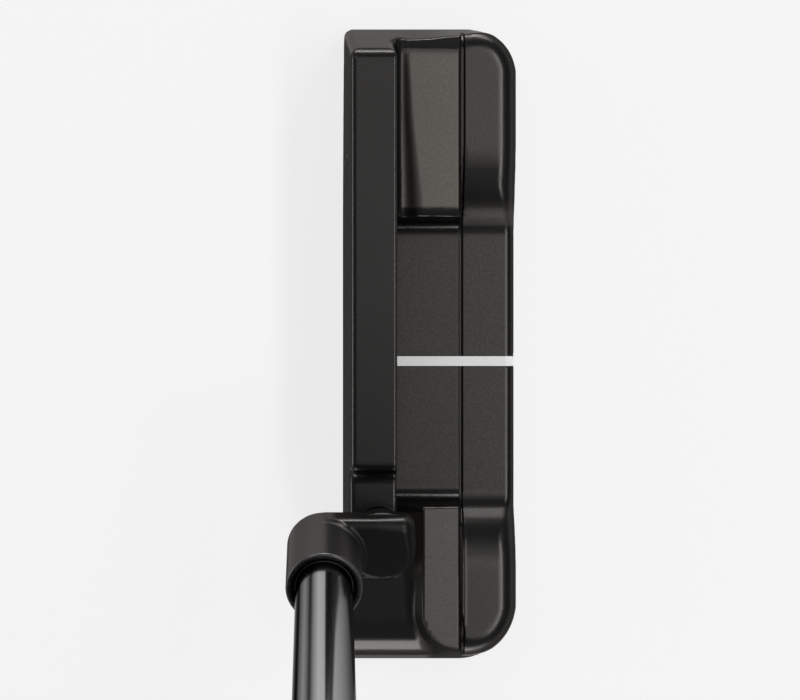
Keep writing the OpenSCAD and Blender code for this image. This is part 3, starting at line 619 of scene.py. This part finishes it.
def paintFinish():
    f = Finish("line off-white paint")
    mottle = f.noise(900, 3)
    colour = f.blend(mottle, rgb(0.90, 0.90, 0.89), rgb(0.95, 0.95, 0.94))
    return f.surface({"Base Color": colour, "Roughness": 0.5 + 0.15 * mottle, "Specular IOR Level": 0.35,
                      "Normal": f.bump(mottle, 0.1, 0.00003)})


lineLines = [np.arange(*paint[axis]) for axis in "xyz"]
dress(formPiece("sight_line_paint", lineForm, lineLines), "club", "line_paint", paintFinish(), "sight_line")


# shaft
def lathe(name, profile, turns, foot=shaftFoot, axis=shaftAxis):  # closed profile of (radius, distance)
    angle = np.arange(turns) * 2 * math.pi / turns
    side = np.array([axis[2], 0, -axis[0]])
    ring = np.cos(angle)[:, None] * side + np.sin(angle)[:, None] * np.cross(axis, side)
    profile = np.array(profile)
    verts = np.concatenate([foot + r * ring + t * axis for r, t in profile])
    count = len(profile)
    gentle = 0.82  # cosine of the sharpest turn that is still shaded smooth
    ahead = np.roll(profile, -1, axis=0) - profile
    facing = np.stack([ahead[:, 1], -ahead[:, 0]], axis=1) / np.linalg.norm(ahead, axis=1, keepdims=True)
    quads, normals = [], []
    for i in range(count):
        ends = []
        for other in (i - 1, (i + 1) % count):  # neighbours that turn gently share their shading
            mixed = facing[i] + facing[other] if facing[i] @ facing[other] > gentle else facing[i]
            ends.append(mixed / np.linalg.norm(mixed))
        for j in range(turns):
            k = (j + 1) % turns
            below, above = i * turns, (i + 1) % count * turns
            quads.append([below + j, below + k, above + k, above + j])
            for spot, end in ((j, 0), (k, 0), (k, 1), (j, 1)):
                normals.append(ends[end][0] * ring[spot] + ends[end][1] * axis)
    return meshOf(name, verts, np.array(quads), np.array(normals))


shaftTube = {"tip": 4.7, "butt": 7.35, "wall": 0.45, "low": 44.8, "straightTo": 119.6, "gripLow": 596.0, "top": 861.0,
             "turns": 128,
             "paintedReflections": [(0.0, 0.0), (0.04, 0.02), (0.08, 0.08), (0.11, 0.25), (0.175, 0.38), (0.225, 0.2), (0.26, 0.05),
                         (0.285, 0.05), (0.33, 0.25), (0.41, 0.48), (0.5, 0.46), (0.7, 0.36), (0.95, 0.2), (1.0, 0.1)]}


def chromeFinish():
    f = Finish("shaft dark chrome")
    haze = f.noise(40, 4)
    split = f.add("ShaderNodeSeparateXYZ", {}, {0: f.place()})
    across = (split - shaftFoot[0] * mm) * shaftAxis[2] - split.pick("Z") * shaftAxis[0]
    back = split.pick("Y") - shaftFoot[1] * mm
    turned = back / (across * across + back * back) ** 0.5  # from -1 at the front to 1 at the rear
    # painted reflections: light and dark bands along the shaft, set by the angle round it
    paintedReflection = f.add("ShaderNodeValToRGB", {"stops": shaftTube["paintedReflections"]}, {0: 0.5 + 0.5 * turned})
    colour = f.blend(haze * 0.25, paintedReflection, rgb(0.4, 0.4, 0.41))
    return f.surface({"Base Color": colour, "Metallic": 1.0, "Roughness": 0.12 + 0.05 * haze,
                      "Specular Tint": rgb(0.22, 0.22, 0.22)})


def shaftProfile():
    s = shaftTube
    inner = [(s["butt"] - s["wall"], s["top"]), (s["butt"] - s["wall"], s["gripLow"]),
             (s["tip"] - s["wall"], s["straightTo"]), (s["tip"] - s["wall"], s["low"])]
    return [(s["tip"], s["low"]), (s["tip"], s["straightTo"]), (s["butt"], s["gripLow"]),
            (s["butt"], s["top"])] + inner


dress(lathe("shaft_tube", shaftProfile(), shaftTube["turns"]), "club", "shaft_chrome", chromeFinish(), "shaft")


# sole weights and their washers
weight = {"flange": 7.0, "flangeThick": 1.8, "edge": 0.35, "shank": 5.22, "thread": 0.45, "pitch": 1.0, "length": 7.4,
          "flankShare": 0.75, "tipRound": 0.5, "socket": 2.0, "socketDeep": 3.0, "mouth": 0.55, "mouthLean": 1.2,
          "washer": (5.4, 6.95, 1.84, 2.36), "washerEdge": 0.15, "washerTurns": 96,  # radii, foot and top
          "gridReach": 9.0, "gridSteps": (0.2, 0.2, 0.17), "gridBelow": 2.5}


def weightForm(node):
    axis, centre = ports[node]
    side = np.array([axis[2], 0, -axis[0]])
    third = np.cross(axis, side)

    def form(x, y, z):
        dx, dy, dz = x - centre[0], y - centre[1], z - centre[2]
        deep = dx * axis[0] + dy * axis[1] + dz * axis[2]
        a = dx * side[0] + dy * side[1] + dz * side[2]
        b = dx * third[0] + dy * third[1] + dz * third[2]
        off = np.hypot(a, b)
        half = weight["flangeThick"] / 2
        flange = roundAnd(off - weight["flange"], np.abs(deep - half) - half, weight["edge"])
        wave = (deep / weight["pitch"] - np.arctan2(b, a) / (2 * math.pi)) % 1
        thread = (off - weight["shank"] + weight["thread"] * np.abs(2 * wave - 1)) * weight["flankShare"]
        shank = roundAnd(thread, deep - weight["length"], weight["tipRound"])
        shank = np.maximum(shank, half - deep)
        hexagon = np.maximum(np.abs(a), np.abs(a / 2) + np.abs(b) * math.sqrt(0.75)) - weight["socket"]
        mouth = np.maximum(off - weight["socket"] - weight["mouth"] + deep * weight["mouthLean"], -1 - deep)
        cut = np.minimum(np.maximum(hexagon, deep - weight["socketDeep"]), mouth)
        return np.maximum(np.minimum(flange, shank), -cut)
    return form


def turnedFinish(name, node):
    centre = ports[node][1]
    f = Finish(name)
    apart = f.add("ShaderNodeVectorMath", {"operation": "SUBTRACT"}, {0: f.place(), 1: tuple(centre * mm)})
    rings = f.add("ShaderNodeVectorMath", {"operation": "LENGTH"}, {0: apart}, output="Value")
    lines = f.noise(1.0, 2, 0.6, vector=f.add("ShaderNodeCombineXYZ", {}, {0: rings * 9000}))
    cloud = f.noise(250, 3)
    colour = f.blend(cloud, rgb(0.30, 0.30, 0.31), rgb(0.40, 0.40, 0.41))
    return f.surface({"Base Color": colour, "Metallic": 1.0, "Roughness": 0.24 + 0.12 * cloud + 0.06 * lines,
                      "Normal": f.bump(lines, 0.12, 0.00003)})


def makeWeights():
    low, high, foot, top = weight["washer"]
    soft = weight["washerEdge"]
    washer = [(low + soft, foot), (high - soft, foot), (high, foot + soft), (high, top - soft),
              (high - soft, top), (low + soft, top), (low, top - soft), (low, foot + soft)]
    for node, (axis, centre) in ports.items():
        reach = weight["gridReach"]
        lines = [np.arange(mid - reach, mid + reach + 0.01, step) for mid, step in zip(centre, weight["gridSteps"])]
        lines[2] = lines[2][lines[2] > centre[2] - weight["gridBelow"]]
        piece = formPiece(node + "_turned", weightForm(node), lines)
        dress(piece, node, "weight_steel", turnedFinish(node + " turned steel", node), node)
        ring = lathe(node + "_washer", washer, weight["washerTurns"], centre, axis)
        dress(ring, node + "_seal", "seal", sealFinish, node + "_seal")


# finishes of the remaining pieces
def plainFinish(name, dark, light, rough, scale=400):
    f = Finish(name)
    mottle = f.noise(scale, 4)
    colour = f.blend(mottle, rgb(*dark), rgb(*light))
    return f.surface({"Base Color": colour, "Roughness": rough + 0.1 * mottle,
                      "Normal": f.bump(mottle, 0.15, 0.00005)})


def keep(node, material):
    data = frame["nodes"][node].data
    data.materials.clear()
    data.materials.append(material)


sealFinish = plainFinish("washer rubber", (0.012, 0.012, 0.012), (0.022, 0.022, 0.022), 0.55, scale=1500)
makeWeights()


# grip
grip = {"low": 596.0, "length": 268.0, "top": 864.0, "lowRound": 11.0, "topRound": 15.5, "flatLow": 10.0, "flatTop": 12.2,
        "flatEdge": 2.2, "collar": 7.0, "cap": 3.0, "skin": 1.4, "hole": 7.55, "vent": 1.5,
        "wrap": 23.0, "lap": 0.32, "lapRise": 0.045, "lapInset": 0.12, "lapEnd": 2.0,
        "rowStep": 0.75, "innerRows": 24, "leastEdge": 0.3, "turns": 144}
gripAngle = np.arange(grip["turns"]) * 2 * math.pi / grip["turns"]


def gripRow(t, inset=0.0):  # reach of the outline across the grip at a distance up the shaft line
    s = (t - grip["low"]) / grip["length"]
    r = grip["lowRound"] + (grip["topRound"] - grip["lowRound"]) * (0.5 - 0.5 * math.cos(math.pi * s)) - inset
    flat = grip["flatLow"] + (grip["flatTop"] - grip["flatLow"]) * s - inset
    soft = max(grip["flatEdge"] - inset, grip["leastEdge"])
    reach = np.full_like(gripAngle, r)
    for _ in range(30):  # walk each ray in to the rounded outline
        reach = reach - roundAnd(reach - r, -reach * np.cos(gripAngle) - flat, soft)
    return reach


def gripPiece(name, rows):  # rows of (distance, reach array or radius), closed into a ring of rows
    out = np.cos(gripAngle)[:, None] * shaftSide + np.sin(gripAngle)[:, None] * np.array([0, 1, 0])
    verts = np.concatenate([shaftFoot + np.reshape(reach, (-1, 1)) * out + t * shaftAxis for t, reach in rows])
    turns, count = grip["turns"], len(rows)
    j = np.arange(turns)
    k = (j + 1) % turns
    quads = []
    for i in range(count):
        below, above = i * turns, (i + 1) % count * turns
        quads.append(np.stack([below + j, below + k, above + k, above + j], axis=1))
    piece = meshOf(name, verts, np.concatenate(quads))
    piece.data.set_sharp_from_angle(angle=math.radians(50))
    return piece


def skinRows():
    low, high = grip["low"] + grip["collar"], grip["top"] - grip["cap"]
    turned = np.arange(grip["turns"]) / grip["turns"]
    rows = []
    for t in np.arange(low, high + 0.01, grip["rowStep"]):
        wave = (t / grip["wrap"] - turned) % 1  # each turn of the wrap laps over the one below
        lap = grip["lap"] * fade(wave, 0, grip["lapRise"]) * (1 - wave) - 0.5 * grip["lap"]
        ends = min(1, (t - low) / grip["lapEnd"], (high - t) / grip["lapEnd"])
        rows.append((t, gripRow(t) + lap * ends - grip["lapInset"]))
    inner = [(t, gripRow(t, grip["skin"])) for t in np.linspace(high, low, grip["innerRows"])]
    return rows + inner


def collarRows():
    low, high = grip["low"], grip["low"] + grip["collar"]
    rows = [(low, grip["hole"]), (low, gripRow(low, 1.4))]
    for up, inset in [(0.25, 0.75), (0.7, 0.35), (1.4, 0.15), (2.2, 0.12), (2.5, 0.5), (2.9, 0.5), (3.2, 0.1),
                      (4.2, 0.1), (4.5, 0.5), (4.9, 0.5), (5.2, 0.08), (6.4, 0.05), (6.8, 0.15), (7.0, 0.4)]:
        rows.append((low + up, gripRow(low + up, inset)))
    return rows + [(high, grip["hole"])]


def capRows():
    low = grip["top"] - grip["cap"]
    rows = [(low, grip["vent"]), (low, gripRow(low, 0.4))]
    for up, inset in [(0.15, 0.12), (0.5, 0.04), (1.4, 0.04), (1.9, 0.15), (2.3, 0.45), (2.65, 0.95), (2.85, 1.6),
                      (2.92, 2.4), (2.9, 3.2), (2.6, 3.6), (2.5, 4.2), (2.5, 7.0)]:
        rows.append((low + up, gripRow(low + up, inset)))
    return rows + [(low + 2.5, grip["vent"] + 1.2), (low + 2.35, grip["vent"] + 0.5), (low + 1.9, grip["vent"])]


def wrapFinish():
    f = Finish("grip wrap")
    pores = f.add("ShaderNodeTexVoronoi", {"feature": "F1"}, {"Vector": f.place(), "Scale": 700.0}, output="Distance")
    pore = f.between(pores, 0.18, 0.4)
    leather = f.noise(1400, 3)
    worn = f.noise(30, 3)
    tone = f.blend(worn, rgb(0.022, 0.022, 0.023), rgb(0.034, 0.034, 0.035))
    colour = f.blend(pore, rgb(0.008, 0.008, 0.008), tone)
    return f.surface({"Base Color": colour, "Roughness": 0.5 + 0.16 * leather, "Specular IOR Level": 0.4,
                      "Normal": f.bump(pore + 0.25 * leather, 0.5, 0.00018)})


def mouldFinish():
    f = Finish("grip moulding")
    grain = f.noise(2600, 2)
    cloud = f.noise(80, 3)
    tone = f.blend(cloud, rgb(0.012, 0.012, 0.012), rgb(0.02, 0.02, 0.02))
    return f.surface({"Base Color": tone, "Roughness": 0.42 + 0.12 * grain, "Specular IOR Level": 0.4,
                      "Normal": f.bump(grain, 0.2, 0.00005)})


moulding = mouldFinish()
dress(gripPiece("grip_wrap", skinRows()), "club", "grip_wrap", wrapFinish(), "grip_skin")
dress(gripPiece("grip_collar_ring", collarRows()), "club", "grip_mould", moulding, "grip_collar")
dress(gripPiece("grip_butt_cap", capRows()), "club", "grip_mould", moulding, "grip_cap")
print("grip made")


# face plate, adhesive, tape and foam keep their solids
def plateFinish():
    f = Finish("milled face plate")
    sweep = f.add("ShaderNodeTexWave", {"wave_type": "RINGS", "rings_direction": "Y"}, {
        "Vector": f.add("ShaderNodeMapping", {}, {"Vector": f.place(), "Location": (0.03, 0.0, 0.02)}),
        "Scale": 420.0, "Distortion": 0.6, "Detail": 2.0}, output="Fac")
    cloud = f.noise(90, 3)
    colour = f.blend(cloud, rgb(0.028, 0.028, 0.029), rgb(0.038, 0.038, 0.039))
    return f.surface({"Base Color": colour, "Metallic": 0.9, "Roughness": 0.5 + 0.12 * sweep,
                      "Specular Tint": rgb(0.12, 0.12, 0.12), "Normal": f.bump(sweep, 0.3, 0.00006)})


for node, material in {
        "insert_bond": plainFinish("cured adhesive", (0.55, 0.48, 0.3), (0.66, 0.58, 0.38), 0.4),
        "shaft_bond": plainFinish("black shaft adhesive", (0.012, 0.012, 0.013), (0.02, 0.02, 0.02), 0.45),
        "grip_tape": plainFinish("crepe tape", (0.55, 0.5, 0.4), (0.65, 0.6, 0.5), 0.8),
        "grip_core": plainFinish("grip foam", (0.16, 0.16, 0.16), (0.22, 0.22, 0.22), 0.8, scale=900),
        "face_insert": plateFinish()}.items():
    keep(node, material)


# studio
studio = {"ground": -0.0003, "floorSize": 8.0, "paper": 0.965, "flat": 0.8, "beyond": 0.8,
          "sky": [(0.0, 0.25), (0.3, 0.11), (0.75, 0.1), (1.0, 0.28)]}  # by height, from the horizon up
lamps = {  # place, size, power, spread; all point at the head
    "overhead": ((-0.25, 0.1, 1.2), (0.75, 0.6), 1.0, 180),
    "rear strip": ((0.0, 0.6, 1.15), (1.6, 0.18), 9.5, 180),
    "toe front key": ((-0.75, -0.6, 1.1), (0.5, 0.5), 1.4, 180),
    "front low": ((0.0, -1.4, 0.14), (2.0, 0.28), 1.6, 70),
    "heel low": ((1.4, 0.0, 0.14), (1.6, 0.28), 2.1, 70),
    "toe low": ((-1.4, 0.0, 0.14), (1.6, 0.28), 3.3, 70),
}


def areaLight(name, place, size, power, spread):
    data = bpy.data.lights.new(name, "AREA")
    data.shape = "RECTANGLE"
    data.size, data.size_y = size
    data.energy = power
    data.spread = math.radians(spread)
    lamp = bpy.data.objects.new(name, data)
    lamp.location = place
    lamp.rotation_euler = (Vector((0, 0, 0)) - Vector(place)).to_track_quat("-Z", "Y").to_euler()
    bpy.context.scene.collection.objects.link(lamp)


def floorFinish():
    f = Finish("pale floor")
    path = f.add("ShaderNodeLightPath", output="Is Camera Ray")
    seen = path + path.pick("Is Glossy Ray") + path.pick("Is Transmission Ray")
    lit = f.add("ShaderNodeBsdfDiffuse", {}, {"Color": rgb(0.86, 0.86, 0.86)})
    paper = f.add("ShaderNodeEmission", {}, {"Color": rgb(*[studio["paper"]] * 3), "Strength": 1.0})
    share = f.add("ShaderNodeMath", {"operation": "MINIMUM"}, {0: seen, 1: 1.0}) * studio["flat"]
    mix = f.add("ShaderNodeMixShader", {}, {0: share, 1: lit, 2: paper})
    under = f.add("ShaderNodeNewGeometry", output="Backfacing")  # seen through from below
    mix = f.add("ShaderNodeMixShader", {}, {0: under, 1: mix, 2: f.add("ShaderNodeBsdfTransparent")})
    f.add("ShaderNodeOutputMaterial", {}, {"Surface": mix})
    return f.data


def makeStudio():
    half = studio["floorSize"] / 2
    corners = np.array([[-half, -half, 0], [half, -half, 0], [half, half, 0], [-half, half, 0]])
    floor = meshOf("floor", corners / mm, np.array([[0, 1, 2, 3]]))
    floor.location.z = studio["ground"]
    floor.data.materials.append(floorFinish())
    for name, (place, size, power, spread) in lamps.items():
        areaLight(name, place, size, power, spread)
    world = bpy.data.worlds.new("studio air")
    bpy.context.scene.world = world
    f = Finish("", world)
    path = f.add("ShaderNodeLightPath", output="Is Camera Ray")
    up = f.add("ShaderNodeSeparateXYZ", {}, {0: f.add("ShaderNodeTexCoord", output="Generated")}, output="Z")
    sky = f.add("ShaderNodeValToRGB", {"stops": studio["sky"]}, {0: up})
    tone = f.blend(path, sky, rgb(*[studio["beyond"]] * 3))
    air = f.add("ShaderNodeBackground", {}, {"Color": tone, "Strength": 1.0})
    f.add("ShaderNodeOutputWorld", {}, {"Surface": air})


makeStudio()
view = {"place": (-0.0021, -0.0198, 0.357), "turn": 90, "lens": 83.07, "shiftX": 0.095, "near": 0.01}
camera = bpy.data.cameras.new("view from above")
camera.lens = view["lens"]
camera.shift_x = view["shiftX"]
camera.clip_start = view["near"]
cameraPiece = bpy.data.objects.new("view from above", camera)
cameraPiece.location = view["place"]
cameraPiece.rotation_euler = (0, 0, math.radians(view["turn"]))
bpy.context.scene.collection.objects.link(cameraPiece)
bpy.context.scene.camera = cameraPiece
bpy.context.scene.view_settings.view_transform = "Standard"
print("studio set")
